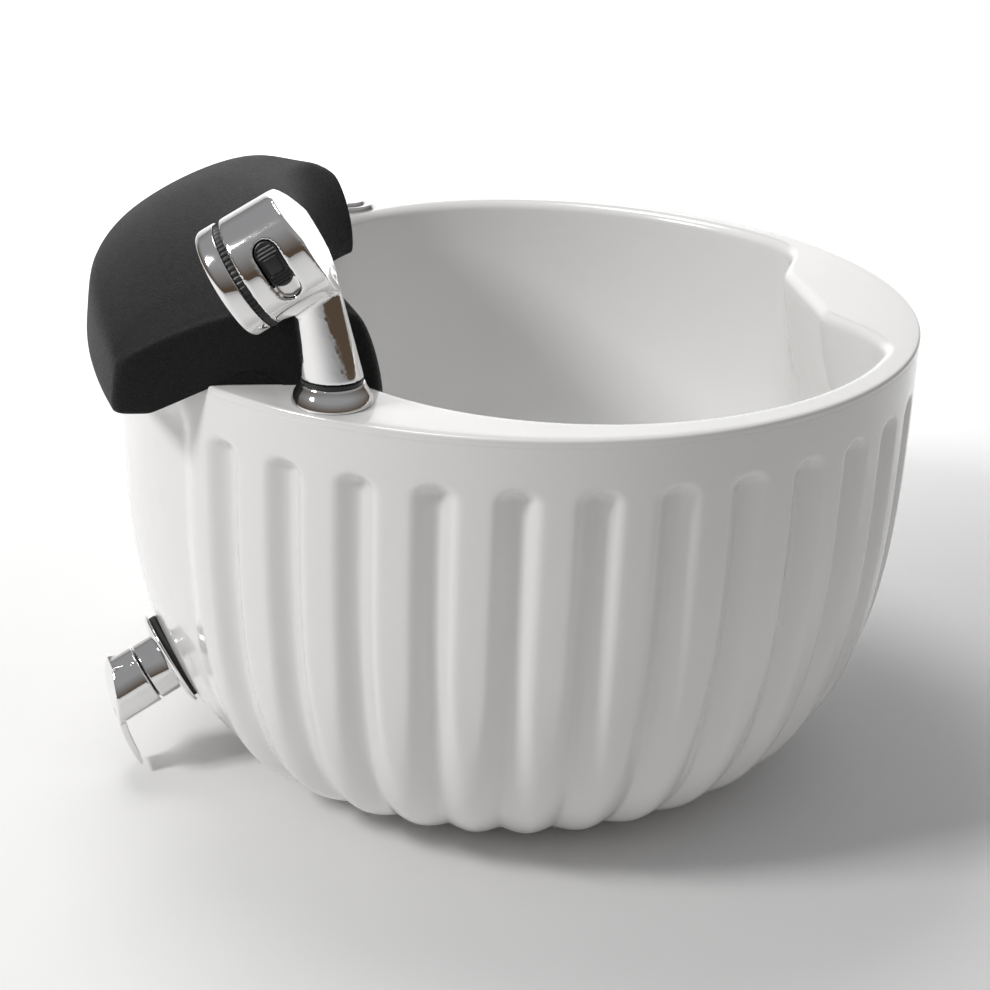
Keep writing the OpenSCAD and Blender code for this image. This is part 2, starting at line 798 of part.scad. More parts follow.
module footrest_pad() {
    rings = [for (j = [0:pad_stations])
        let(
            t = 2 * j / pad_stations - 1,
            y = pad_half * sin(90 * t) / sin(90),
            share = abs(y) / pad_half,
            end = sqrt(max(0, 1 - pow(max(0, share - 0.80) / 0.20, 2))),
            h = crest_at(y) * mix(0.62, 1, end),
            xo = -rim_r - pad_overhang + pad_pull * pow(share, 1.8),
            xw = min(-sqrt(rim_r * rim_r - y * y) - soft_gap, xo + tab_t),
            xi = open_x(y) + soft_gap,
            xl = xi + pad_lip_t,
            under = seat_gap + plate_h * smooth((pad_half - 14 - abs(y)) / 10)
        )
            [
                [xo + 3, y, rim_h - tab_drop], [xo, y, rim_h - tab_drop + 4], [xo + 2, y, rim_h + 0.10 * h],
                [xo + 4, y, rim_h + 0.33 * h], [mix(xo, xl, 0.10), y, rim_h + 0.48 * h],
                [mix(xo, xl, 0.26), y, rim_h + 0.71 * h], [mix(xo, xl, 0.45), y, rim_h + 0.91 * h],
                [mix(xo, xl, 0.62), y, rim_h + h], [mix(xo, xl, 0.79), y, rim_h + 0.91 * h],
                [mix(xo, xl, 0.895), y, rim_h + 0.88 * h], [mix(xo, xl, 0.95), y, rim_h + 0.55 * h],
                [xl - 1, y, rim_h], [xl, y, rim_h - pad_lip_drop + 3], [xl - 3, y, rim_h - pad_lip_drop],
                [xi, y, rim_h - pad_lip_drop], [xi, y, rim_h + under],
                [xw, y, rim_h + under], [xw, y, rim_h - tab_drop]
            ]];
    color("#2b2b2d") polyhedron([for (r = rings) each r], tube_faces(pad_stations + 1, 18), 4);
}

module pad_plate() {
    color("dimgray") translate([0, 0, rim_h + seat_gap]) intersection() {
        linear_extrude(plate_h) difference() {
            circle(r = rim_r - 6);
            circle(r = peg_place_r - 30);
        }
        translate([-rim_r, 0, 0]) cube([2 * rim_r - 300, 2 * pad_half - 56, 20], center = true);
    }
}

module pad_pegs() {
    color("dimgray") for (s = [-1, 1]) at_peg(s)
        translate([0, 0, -peg_len]) cylinder(r = peg_r, h = peg_len + seat_gap);
}

module peg_grommets() {
    color("black") for (s = [-1, 1]) at_peg(s) difference() {
        union() {
            translate([0, 0, -deck_t]) cylinder(r = peg_r + 3, h = deck_t + 0.15);
            translate([0, 0, -deck_t - 3]) cylinder(r = peg_r + 6, h = 3);
        }
        translate([0, 0, -deck_t - 4]) cylinder(r = peg_r + run_gap, h = deck_t + 6);
    }
}

outer_shell();
inner_bowl();
base_plate();
base_feet();
bowl_support();
waste_body();
waste_gasket();
waste_nut();
waste_tailpiece();
waste_union_nut();
waste_plug();
plug_seal();
shower_base();
shower_gasket();
shower_nut();
swivel_bush();
handset_body();
handset_face_ring();
spray_plate();
knurled_ring();
handset_switch();
handset_tail();
hose_connector();
riser_hose();
mixer_hose();
button_bezel();
button_gasket();
button_nut();
button_spring();
button_cap();
air_bellows();
mixer_gasket();
mixer_plate();
mixer_body();
mixer_locknut();
mixer_cartridge();
cartridge_ring();
cartridge_rotor();
lever_pin();
mixer_lever();
lever_index();
hot_inlet();
cold_inlet();
shower_outlet();
footrest_pad();
pad_plate();
pad_pegs();
peg_grommets();
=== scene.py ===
# %% [markdown]
# A foot spa basin: a fluted shell with a smooth bowl dropped into it, a moulded pad to
# rest the calves on, a pull-out hand shower, an air button and a single-lever mixer.
# The frame holds every working piece as a solid. This lesson builds the surfaces that
# are seen over that frame, gives each a finish, and lights them as in a studio.

import json
import math

import bmesh
import bpy
import numpy as np
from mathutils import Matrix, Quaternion, Vector

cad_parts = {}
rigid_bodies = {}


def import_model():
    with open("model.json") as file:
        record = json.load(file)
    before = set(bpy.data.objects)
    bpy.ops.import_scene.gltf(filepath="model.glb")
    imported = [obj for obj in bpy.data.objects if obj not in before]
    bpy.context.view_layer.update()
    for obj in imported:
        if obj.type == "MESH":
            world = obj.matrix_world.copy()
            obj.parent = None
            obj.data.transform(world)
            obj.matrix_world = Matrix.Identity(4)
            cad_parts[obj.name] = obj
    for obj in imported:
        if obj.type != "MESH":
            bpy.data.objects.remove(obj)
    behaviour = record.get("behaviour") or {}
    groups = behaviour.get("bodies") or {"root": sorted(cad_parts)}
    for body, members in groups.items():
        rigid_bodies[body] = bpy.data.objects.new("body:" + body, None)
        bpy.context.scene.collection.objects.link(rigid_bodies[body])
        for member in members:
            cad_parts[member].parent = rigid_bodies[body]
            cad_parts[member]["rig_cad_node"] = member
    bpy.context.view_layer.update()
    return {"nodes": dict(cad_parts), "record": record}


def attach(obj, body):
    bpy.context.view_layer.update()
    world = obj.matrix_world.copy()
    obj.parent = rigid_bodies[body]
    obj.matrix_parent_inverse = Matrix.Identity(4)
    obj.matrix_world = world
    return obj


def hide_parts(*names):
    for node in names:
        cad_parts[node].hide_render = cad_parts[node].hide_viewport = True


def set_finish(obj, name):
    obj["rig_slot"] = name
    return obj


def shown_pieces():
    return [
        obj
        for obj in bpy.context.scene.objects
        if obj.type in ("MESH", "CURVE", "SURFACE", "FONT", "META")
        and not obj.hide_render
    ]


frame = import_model()

# %% [markdown]
# The camera comes first, so that every later choice can be judged from where the basin
# is looked at. It stands 0.4 m above the rim, with its lens lowered to take in the foot
# of the shell, and it is turned slightly about its own line of sight.

# %% camera
RIM_HEIGHT = 340.0
RIM_RADIUS = 290.0


def line_of_sight(azimuth, elevation, roll):
    """The turn of a camera that looks back along a direction given by two angles, then rolls about it."""
    a, e = math.radians(azimuth), math.radians(elevation)
    back = Vector((math.sin(a) * math.cos(e), -math.cos(a) * math.cos(e), math.sin(e)))
    return back.to_track_quat("Z", "Y") @ Quaternion((0, 0, 1), math.radians(roll))


lens = bpy.data.cameras.new("camera")
camera = bpy.data.objects.new("camera", lens)
bpy.context.scene.collection.objects.link(camera)
camera.location = (-0.1879, -1.2487, 0.732)
camera.rotation_mode = "QUATERNION"
camera.rotation_quaternion = line_of_sight(-8.52, 18.84, 2.38)
lens.sensor_width = 36
lens.lens = 65.9
lens.shift_x, lens.shift_y = -0.018, -0.155
lens.clip_start, lens.clip_end = 0.05, 30
bpy.context.scene.camera = camera
print("camera stands", round(camera.location.length, 3), "m from the basin's foot")

# %% [markdown]
# Every new piece is a grid of points: rows of one parameter, columns of another. One
# helper joins neighbouring points into four-sided faces and closes the grid where it
# meets itself. Lengths are in millimetres, as on a maker's drawing, until the last step.

# %% grids into meshes
def grid_faces(rows, columns, close_rows, close_columns):
    """Each point is joined to the next one along and the next one across; a closed side wraps round."""
    i = np.arange(rows if close_rows else rows - 1)[:, None]
    j = np.arange(columns if close_columns else columns - 1)[None, :]
    i2, j2 = (i + 1) % rows, (j + 1) % columns
    corners = [i * columns + j, i * columns + j2, i2 * columns + j2, i2 * columns + j]
    return np.stack(np.broadcast_arrays(*corners), -1).reshape(-1, 4)


def piece(name, parts, weld=0.002):
    """One object from several grids, each (points, close_rows, close_columns), welded and turned outward."""
    points, faces, start = [], [], 0
    for grid, close_rows, close_columns in parts:
        rows, columns = grid.shape[:2]
        points.append(grid.reshape(-1, 3))
        faces.append(grid_faces(rows, columns, close_rows, close_columns) + start)
        start += rows * columns
    mesh = bpy.data.meshes.new(name)
    mesh.from_pydata(np.concatenate(points) / 1000, [], np.concatenate(faces).tolist())
    tidy = bmesh.new()
    tidy.from_mesh(mesh)
    bmesh.ops.remove_doubles(tidy, verts=tidy.verts, dist=weld / 1000)
    bmesh.ops.recalc_face_normals(tidy, faces=tidy.faces)
    tidy.to_mesh(mesh)
    tidy.free()
    mesh.shade_smooth()
    made = bpy.data.objects.new(name, mesh)
    bpy.context.scene.collection.objects.link(made)
    return made


def stand_for(made, body, slot, *nodes):
    """The piece rides on a body, takes a material slot and hides the solids that it stands for."""
    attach(made, body)
    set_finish(made, slot)
    if nodes:
        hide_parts(*nodes)
    print(made.name, len(made.data.polygons), "faces on", body)


# %% easing
def smooth(t):
    """0 below 0, 1 above 1, and 3t^2 - 2t^3 between."""
    t = np.clip(t, 0, 1)
    return t * t * (3 - 2 * t)


def mix(a, b, t):
    """a at t = 0, b at t = 1, and a straight share of both between."""
    return a + (b - a) * t


# %% [markdown]
# The shell is one moulding, a bowl of revolution whose wall stands nearly straight at
# the rim and turns under towards the floor. Scoops are pressed into it: each starts as
# a narrow trough with a round upper end, and widens until, low down, only rounded ribs
# with creases between them are left. Written as a depth to take off the wall at every
# angle and height, the whole pattern is one formula, and no flute is placed by hand.

# %% wall and flutes
BASE_RADIUS = 145.0
FOOT = 3.0
FLUTE_TOP = RIM_HEIGHT - 30
PITCH = 360 / 37
SIDE_FLUTES = 14
SHELL_WALL = 4.5
LINING_DEPTH = 14.5
FLANGE_HOLE = 114.0


def wall_radius(z):
    """Base radius plus a superellipse share of the way to the rim."""
    s = np.clip((z - FOOT) / (RIM_HEIGHT - FOOT), 0, 1)
    return BASE_RADIUS + (RIM_RADIUS - BASE_RADIUS) * (1 - (1 - s) ** 3.7) ** (1 / 2.1)


def flute_depth(angle, z):
    """Upper trough: cosine squared of the distance from a line with a round end.
    Lower rib: a parabola between creases. One fades into the other near the foot."""
    k = np.round(angle / PITCH)
    u = np.abs(angle / PITCH - k)
    low = 1 - smooth((z - 18) / 165)
    half = mix(0.31, 0.5, low) * PITCH * np.pi / 180 * wall_radius(z)
    across = u * PITCH * np.pi / 180 * wall_radius(z)
    past_end = np.maximum(0, half - (FLUTE_TOP - z) * 1.25)
    d = np.clip(np.hypot(across, past_end) / half, 0, 1)
    trough = 9.0 * np.cos(np.pi / 2 * d) ** 1.7
    rib = 8.5 * np.clip(1 - 2 * np.sqrt(u * u + 0.0016), 0, 1) ** 1.7
    return np.where(np.abs(k) <= SIDE_FLUTES, mix(trough, rib, smooth(low * 1.15)), 0)


def recess_depth(angle, z):
    """The plain zone behind the mixer lies 6 mm in, easing out before the deck and the foot."""
    edge_angle = (SIDE_FLUTES + 0.5) * PITCH
    return 6.0 * smooth((np.abs(angle) - edge_angle) / 5) * smooth((RIM_HEIGHT - 10 - z) / 30) * smooth(
        (z - FOOT) / 60 + 0.2
    )


def round_ring(radius, angle, z):
    """Points at a radius, an angle in degrees and a height."""
    a = np.radians(angle)
    return np.stack(np.broadcast_arrays(radius * np.cos(a), radius * np.sin(a), z), -1)


def full_turn(columns):
    """Angles in degrees from -180 up to 180, without the last."""
    return np.arange(columns) * 360 / columns - 180


# %% fluted shell
angle = full_turn(37 * 18)[None, :]
outer_z = np.concatenate([[RIM_HEIGHT - 5], mix(RIM_HEIGHT - 5.3, FLUTE_TOP - 30, np.linspace(0, 1, 34)),
                          mix(FLUTE_TOP - 32, FOOT, np.linspace(0, 1, 62))])[:, None]
outer_radius = wall_radius(outer_z) - flute_depth(angle, outer_z) - recess_depth(angle, outer_z)
outer_skin = round_ring(outer_radius, angle, outer_z)
foot_flange = round_ring(FLANGE_HOLE, angle, np.array([[FOOT], [FOOT + SHELL_WALL]]))
inner_z = np.linspace(FOOT + SHELL_WALL, RIM_HEIGHT - 5, 9)[:, None]
inner_skin = round_ring(wall_radius(inner_z - SHELL_WALL) - LINING_DEPTH, angle, inner_z)
fluted_shell = piece("fluted_shell", [(np.concatenate([outer_skin, foot_flange, inner_skin]), True, True)])
stand_for(fluted_shell, "root", "gelcoat", "outer_shell")

# %% [markdown]
# The bowl and its deck are a second moulding. Seen from above the opening is
# egg-shaped, wide end away from the pad, and opposite the pad a wedge stands into it.
# The radius of the opening is a short sum of cosines, the wedge a soft mask over it,
# and below the lip the wall runs down to the flat floor as another superellipse.

# %% bowl and deck
FLOOR_HEIGHT = 62.0
FLOOR_RADIUS = 95.0
LIP = 8.0
BOWL_WALL = 4.5
WASTE_HOLE = 21.5
NOSE = 216.0


def opening_radius(angle):
    """A circle made into an egg by the first three cosines of the angle."""
    a = np.radians(angle)
    return RIM_RADIUS * (0.814 + 0.172 * np.cos(a) - 0.071 * np.cos(2 * a) + 0.016 * np.cos(3 * a))


def bowl_edge(angle, z):
    """The opening, drawn towards a straight nose 216 mm out where the wedge stands."""
    a = np.radians(np.clip(angle, -60, 60))
    wedge = (1 - smooth((np.abs(angle) - 12) / 19)) * (1 - smooth((RIM_HEIGHT - z) / 190))
    return mix(opening_radius(angle), NOSE / np.cos(a), wedge)


def bowl_radius(angle, z):
    """Floor radius plus a superellipse share of the way to the edge."""
    s = np.clip((z - FLOOR_HEIGHT) / (RIM_HEIGHT - LIP - FLOOR_HEIGHT), 0, 1)
    return FLOOR_RADIUS + (bowl_edge(angle, z) - FLOOR_RADIUS) * np.sqrt(1 - (1 - s) ** 3.2)


angle = full_turn(480)[None, :]
turn = np.linspace(0, 90, 7)[:, None]
quarter = np.radians(turn)
deck_side = round_ring(RIM_RADIUS, angle, np.array([[RIM_HEIGHT - 5], [RIM_HEIGHT - 4.7], [RIM_HEIGHT - 3]]))
deck_edge = round_ring(RIM_RADIUS - 2 + 2 * np.cos(quarter), angle, RIM_HEIGHT - 2 + 2 * np.sin(quarter))
lip_start = round_ring(bowl_edge(angle, RIM_HEIGHT) + LIP, angle, RIM_HEIGHT)
deck_top = mix(deck_edge[-1:], lip_start, np.linspace(0.2, 0.98, 6)[:, None, None])
lip_turn = np.radians(np.linspace(0, 90, 12))[:, None]
lip_radius = bowl_edge(angle, RIM_HEIGHT) + LIP * (1 - np.sin(lip_turn))
bowl_lip = round_ring(lip_radius, angle, RIM_HEIGHT - LIP * (1 - np.cos(lip_turn)))
bowl_z = (FLOOR_HEIGHT + (RIM_HEIGHT - LIP - FLOOR_HEIGHT) * np.linspace(1, 0, 64) ** 1.6)[1:, None]
bowl_wall = round_ring(bowl_radius(angle, bowl_z), angle, bowl_z)
floor_ring = round_ring(np.linspace(90, WASTE_HOLE, 8)[:, None], angle, FLOOR_HEIGHT)
underside = FLOOR_HEIGHT - BOWL_WALL
climb = (RIM_HEIGHT - 0.5 - FLOOR_HEIGHT) * np.linspace(0, 1, 14) ** 1.5
under_z = np.concatenate([[underside], underside + climb])[:, None]
under_radius = bowl_radius(angle, under_z + BOWL_WALL) + BOWL_WALL
under_wall = round_ring(np.where(np.arange(15)[:, None] == 0, WASTE_HOLE, under_radius), angle, under_z)
bowl_skin = np.concatenate([deck_side, deck_edge, deck_top, bowl_lip, bowl_wall, floor_ring, under_wall])
bowl_and_deck = piece("bowl_and_deck", [(bowl_skin, True, True)])
stand_for(bowl_and_deck, "root", "gelcoat", "inner_bowl")

# %% [markdown]
# The footrest pad is self-skinned foam, moulded in one block with no cover to wrinkle,
# so its form is cut as sections from end to end rather than blown up as a cushion. A
# section runs from an outer face squarer in plan than the rim to the bowl's edge, and a
# tab hooks over the rim. Its corners become short curves, wide on top and tight below.

# %% rounded outlines
def rounded(corners, radius, steps, closed):
    """Each corner becomes a quadratic curve that starts and ends a radius away along its two sides."""
    corners = np.asarray(corners, float)
    radius = np.broadcast_to(np.asarray(radius, float), corners.shape[:-1])[..., None]
    before, after = np.roll(corners, 1, -2) - corners, np.roll(corners, -1, -2) - corners
    far_before, far_after = [np.linalg.norm(v, axis=-1, keepdims=True) + 1e-9 for v in (before, after)]
    start = corners + before * np.minimum(radius / far_before, 0.5)
    end = corners + after * np.minimum(radius / far_after, 0.5)
    t = np.linspace(0, 1, steps)[:, None]
    start, middle, end = start[..., None, :], corners[..., None, :], end[..., None, :]
    curve = (1 - t) ** 2 * start + 2 * t * (1 - t) * middle + t**2 * end
    if not closed:
        curve[..., 0, :, :], curve[..., -1, :, :] = corners[..., :1, :], corners[..., -1:, :]
    return curve.reshape(*corners.shape[:-2], -1, corners.shape[-1])


# %% pad sections
PAD_HALF = 192.0
PAD_TOP = 76.5
PAD_REACH = 305.5
PAD_PULL = 30.5
TAB_DROP = 20.0
TAB_THICKNESS = 22.0
LIP_DROP = 25.0
LIP_THICKNESS = 13.0
PAD_GAP = 1.5
END_ROUND = 9.0
CROWN_ACROSS = (0.10, 0.26, 0.45, 0.62, 0.79, 0.895, 0.95)
CROWN_UP = (0.48, 0.71, 0.91, 1.0, 0.91, 0.88, 0.55)


def opening_x(y):
    """x of the opening's edge on the pad's side, read off the egg at a distance y from the middle."""
    a = np.linspace(90, 180, 400)
    edge = opening_radius(a)
    ys, xs = edge * np.sin(np.radians(a)), edge * np.cos(np.radians(a))
    return np.interp(np.abs(y), ys[::-1], xs[::-1])


def pad_section(y):
    """Corners of the pad at a distance y, as x and z: outer face, crown, inner lip, underside and tab."""
    share = np.abs(y) / PAD_HALF
    near_end = np.clip((share - 0.80) / 0.20, 0, 1)
    height = PAD_TOP * (1 - 0.22 * share**2) * mix(0.62, 1, np.sqrt(1 - near_end**2))
    outer = PAD_PULL * share**1.8 - PAD_REACH
    wall = np.minimum(-np.sqrt(RIM_RADIUS**2 - y * y) - PAD_GAP, outer + TAB_THICKNESS)
    edge = opening_x(y) + PAD_GAP
    lip = edge + LIP_THICKNESS
    flat = 0 * y
    under = 0.3 + 3.5 * smooth((PAD_HALF - 14 - np.abs(y)) / 10)
    across = [outer + 3, outer, outer + 2, outer + 4] + [mix(outer, lip, t) for t in CROWN_ACROSS]
    across += [lip - 1, lip, lip - 3, edge, edge, wall, wall]
    up = [flat - TAB_DROP, flat - TAB_DROP + 4, 0.10 * height, 0.33 * height]
    up += [t * height for t in CROWN_UP]
    up += [flat, flat - LIP_DROP + 3, flat - LIP_DROP, flat - LIP_DROP, under, under, flat - TAB_DROP]
    return np.stack([np.stack(across, -1), np.stack(up, -1)], -1)


corner_size = np.array([6, 7, 30, 40, 60, 60, 60, 60, 60, 60, 60, 60, 8, 5, 2, 1, 1, 2.0])
stations = (PAD_HALF - END_ROUND) * np.sin(np.linspace(-np.pi / 2, np.pi / 2, 121))
outline = rounded(pad_section(stations), corner_size, 6, True)
pad_grid = np.stack(np.broadcast_arrays(outline[..., 0], stations[:, None], RIM_HEIGHT + outline[..., 1]), -1)


def end_cap(section, outward):
    """A quarter turn rounds the end off as far in as out; then the section closes flat on its middle."""
    t = np.radians([18, 36, 54, 72, 90, 90, 90, 90])[:, None, None]
    closing = np.array([0, 0, 0, 0, 0, 0.35, 0.7, 1.0])[:, None, None]
    draw = np.maximum(0.10 * (1 - np.cos(t)), closing)
    cap = mix(section[None], section.mean(0)[None, None], draw)
    cap[..., 1] = outward * (PAD_HALF - END_ROUND + END_ROUND * np.sin(t[..., 0]))
    return cap


pad_grid = np.concatenate([end_cap(pad_grid[0], -1)[::-1], pad_grid, end_cap(pad_grid[-1], 1)])
pad = piece("moulded_pad", [(pad_grid, False, True)])
soften = pad.modifiers.new("soften", "SMOOTH")
soften.factor, soften.iterations = 0.5, 6
stand_for(pad, "pad", "black_foam", "footrest_pad")

# %% [markdown]
# Taps, flanges and buttons are turned on a lathe, polished and plated. A turned piece is
# an outline of radius and height carried round an axis; what makes it look machined is
# that no edge is sharp, so each outline is rounded before it is turned.

# %% places on the basin
def shift(x, y, z):
    """A move along three axes as a matrix."""
    m = np.eye(4)
    m[:3, 3] = x, y, z
    return m


def turn_about(axis, angle):
    """A turn about X, Y or Z by an angle in degrees as a matrix."""
    m, c, s = np.eye(4), math.cos(math.radians(angle)), math.sin(math.radians(angle))
    i, j = {"X": (1, 2), "Y": (2, 0), "Z": (0, 1)}[axis]
    m[i, i], m[i, j], m[j, i], m[j, j] = c, -s, s, c
    return m


MIXER_HEIGHT = 86.0
MIXER_SEAT = float(wall_radius(np.array(MIXER_HEIGHT))) - 5
SHOWER_ANGLE = -123
HEAD_TURN = -3
HEAD_TILT = 32
MIXER_TILT = 27
at_shower = turn_about("Z", SHOWER_ANGLE) @ shift(262, 0, RIM_HEIGHT) @ turn_about("Z", -SHOWER_ANGLE)
at_handset = at_shower @ turn_about("Z", HEAD_TURN)
at_head = at_handset @ shift(-62, 0, 72) @ turn_about("Y", 90 - HEAD_TILT)
at_button = turn_about("Z", 115) @ shift(264.5, 0, RIM_HEIGHT)
at_mixer = turn_about("Z", 195) @ shift(MIXER_SEAT, 0, MIXER_HEIGHT) @ turn_about("Y", 90 + MIXER_TILT)
at_foot = np.eye(4)
print("mixer seat radius", round(MIXER_SEAT, 1))


# %% turning on a lathe
def turned(name, outline, place, radius=0.6, around=128, closed=False, teeth=0, tooth=0.0):
    """An outline of (radius, height) corners, rounded, carried round its axis, and put in place.
    With teeth, the radius is cut by a raised cosine of the angle, but only on the outermost face."""
    line = rounded(outline, radius, 5, closed)
    a = np.linspace(0, 2 * np.pi, around, endpoint=False)[None, :]
    r, z = line[:, :1], line[:, 1:]
    if teeth:
        r = r - tooth * (0.5 - 0.5 * np.cos(teeth * a)) ** 0.6 * (r > r.max() - 1.2)
    points = np.stack(np.broadcast_arrays(r * np.cos(a), r * np.sin(a), z), -1)
    points = points @ place[:3, :3].T + place[:3, 3]
    return piece(name, [(points, closed, True)])


# %% shower base and swivel
flange_line = [(13.6, -32), (15, -32), (15, 0.05), (25, 0.05), (25, 2), (23.6, 6), (21.2, 9.6)]
flange_line += [(19.9, 13), (13.6, 13)]
flange_round = [0.3, 0.3, 0.1, 0.8, 2, 3, 3, 1.2, 0.3]
base_flange = turned("shower_flange", flange_line, at_shower, flange_round, closed=True)
stand_for(base_flange, "root", "chrome", "shower_base")
swivel_line = [(12.05, -24), (13.5, -24), (13.5, 13), (19, 13), (19, 15.5), (12.05, 15.5)]
swivel = turned("swivel_washer", swivel_line, at_shower, 0.4, closed=True)
stand_for(swivel, "swivel", "black_plastic", "swivel_bush")
tail_line = [(5.5, -26), (12, -26), (12, 15.5), (8.95, 15.5), (8.95, 27.5), (5.5, 27.5)]
tail = turned("polished_tail", tail_line, at_handset, 0.5, closed=True)
stand_for(tail, "handset", "chrome", "handset_tail")

# %% [markdown]
# The handset's face is a chrome ring with the spray plate inside it, and a black ring
# with fine teeth behind it that is turned by finger. The nozzles are short soft tips in
# three circles. Teeth are one more term in the radius, so they need no copies.

# %% face ring, toothed ring and spray plate
face_line = [(31.5, 0), (34, 0), (35.5, 2.4), (35.5, 12), (31.5, 12)]
face_ring = turned("face_ring", face_line, at_head, [0.4, 0.8, 1.6, 0.7, 0.3], closed=True)
stand_for(face_ring, "handset", "chrome", "handset_face_ring")
TEETH = 66
toothed_line = [(29.5, 12), (34.6, 12), (34.6, 16.5), (29.5, 16.5)]
toothed = turned("toothed_ring", toothed_line, at_head, 0.5, TEETH * 8, closed=True, teeth=TEETH, tooth=0.9)
stand_for(toothed, "handset", "black_plastic", "knurled_ring")


def nozzle_circle(radius, count):
    """Small domes round a circle: each is a ring profile put at its own place, all worked out at once."""
    a = np.linspace(0, 2 * np.pi, count, endpoint=False)
    b = np.linspace(0, 2 * np.pi, 10, endpoint=False)
    r, z = np.array([0, 0.7, 1.1, 1.2]), np.array([0.8, 0.8, 1.1, 2.2])
    x = radius * np.cos(a)[:, None, None] + r[:, None] * np.cos(b)
    y = radius * np.sin(a)[:, None, None] + r[:, None] * np.sin(b)
    return np.stack(np.broadcast_arrays(x, y, z[:, None]), -1)


tips = np.concatenate([nozzle_circle(8.5 * k, 8 * k) for k in (1, 2, 3)]) @ at_head[:3, :3].T + at_head[:3, 3]
disc_line = rounded([(0, 2), (31.4, 2), (31.4, 7), (0, 7)], 0.6, 4, False)
disc_turn = np.linspace(0, 2 * np.pi, 96, endpoint=False)[None, :]
disc_r, disc_z = disc_line[:, :1], disc_line[:, 1:]
disc = np.stack(np.broadcast_arrays(disc_r * np.cos(disc_turn), disc_r * np.sin(disc_turn), disc_z), -1)
disc = disc @ at_head[:3, :3].T + at_head[:3, 3]
spray_face = piece("spray_face", [(disc, False, True)] + [(t, False, True) for t in tips])
stand_for(spray_face, "handset", "grey_plastic", "spray_plate")

# %% [markdown]
# Barrel, back and post of the handset are one casting, blended at every meeting. The
# solids in the frame have the right form with sharp edges. Remaking their skin on a fine
# grid and easing it a few times rounds every edge alike, as polishing before plating does.

# %% polished castings
def polished(name, node, voxel, passes):
    """A copy of a solid's skin, remade on a grid of voxels and eased, so that edges turn round."""
    mesh = frame["nodes"][node].data.copy()
    tidy = bmesh.new()
    tidy.from_mesh(mesh)
    bmesh.ops.remove_doubles(tidy, verts=tidy.verts, dist=1e-5)
    tidy.to_mesh(mesh)
    tidy.free()
    made = bpy.data.objects.new(name, mesh)
    bpy.context.scene.collection.objects.link(made)
    remake = made.modifiers.new("remake", "REMESH")
    remake.mode, remake.voxel_size, remake.use_smooth_shade = "VOXEL", voxel / 1000, True
    ease = made.modifiers.new("ease", "SMOOTH")
    ease.factor, ease.iterations = 0.5, passes
    done = bpy.data.meshes.new_from_object(made.evaluated_get(bpy.context.evaluated_depsgraph_get()))
    made.modifiers.clear()
    made.data = done
    done.name = name
    done.materials.clear()
    done.shade_smooth()
    return made


handset = polished("handset_casting", "handset_body", 0.9, 6)
stand_for(handset, "handset", "chrome", "handset_body")
lever = polished("lever_casting", "mixer_lever", 0.7, 4)
stand_for(lever, "lever", "chrome", "mixer_lever")

# %% [markdown]
# The switch is a black slider in the oblong slot on the barrel's side. Its top follows
# the barrel and carries grip ribs at both ends. It is a stack of oblong rings that
# shrink to the middle, with the ribs as a wave along the length.

# %% ribbed switch
def oblong(length, width, share, a):
    """Points of an oblong with half-round ends, drawn in to its centre line by a share."""
    half = (length - width) / 2
    x = np.cos(a) * width / 2 * share + np.sign(np.cos(a)) * half * share
    return x, np.sin(a) * width / 2 * share


a = np.linspace(0, 2 * np.pi, 120, endpoint=False)[None, :] + 1e-4
share = np.concatenate([np.linspace(0, 0.9, 34), [0.94, 0.97, 0.99, 1.0, 1.0, 1.0, 0.5, 0.0]])[:, None]
drop = np.concatenate([np.zeros(34), [0.05, 0.2, 0.5, 1.0, 3.0, 6.2, 6.2, 6.2]])[:, None]
x, y = oblong(29.6, 14.0, share, a)
grip = np.where(np.abs(np.abs(x) - 9.0) < 4.2, 0.45 * (1 - np.cos(2 * np.pi * x / 2.1)), 0) * (share < 0.9)
top = np.where(drop < 6, np.sqrt(33.6**2 - x * x) - 0.8 - drop - grip, 26.3)
switch_points = np.stack([x - 4, -top, y + 36], -1) @ at_head[:3, :3].T + at_head[:3, 3]
switch = piece("slide_switch", [(switch_points, False, True)])
stand_for(switch, "switch", "black_plastic", "handset_switch")

# %% hose riser
riser = turned("braided_riser", [(0, -148), (6.5, -148), (6.5, -38), (0, -38)], at_handset, 0.5, around=48)
stand_for(riser, "handset", "braided_hose", "riser_hose")

# %% air button
rim_line = [(8, -30), (15, -30), (15, 0.05), (23.5, 0.05), (22, 4.2), (15.6, 4.2), (15.55, 0.9)]
rim_line += [(12, 0.9), (12, -20), (8, -20)]
rim_round = [0.3, 0.3, 0.1, 0.9, 1.6, 0.8, 0.3, 0.3, 0.3, 0.3]
bezel = turned("button_rim", rim_line, at_button, rim_round, closed=True)
stand_for(bezel, "root", "chrome", "button_bezel")
cap_line = [(0, -13.3), (5, -13.3), (5, 3.7), (15.5, 3.7), (15.5, 5.2), (14.3, 6.5), (8, 6.2), (0, 5.9)]
cap = turned("button_top", cap_line, at_button, [0.1, 0.4, 0.4, 0.4, 0.8, 1.2, 4, 0.1])
stand_for(cap, "button", "chrome", "button_cap")

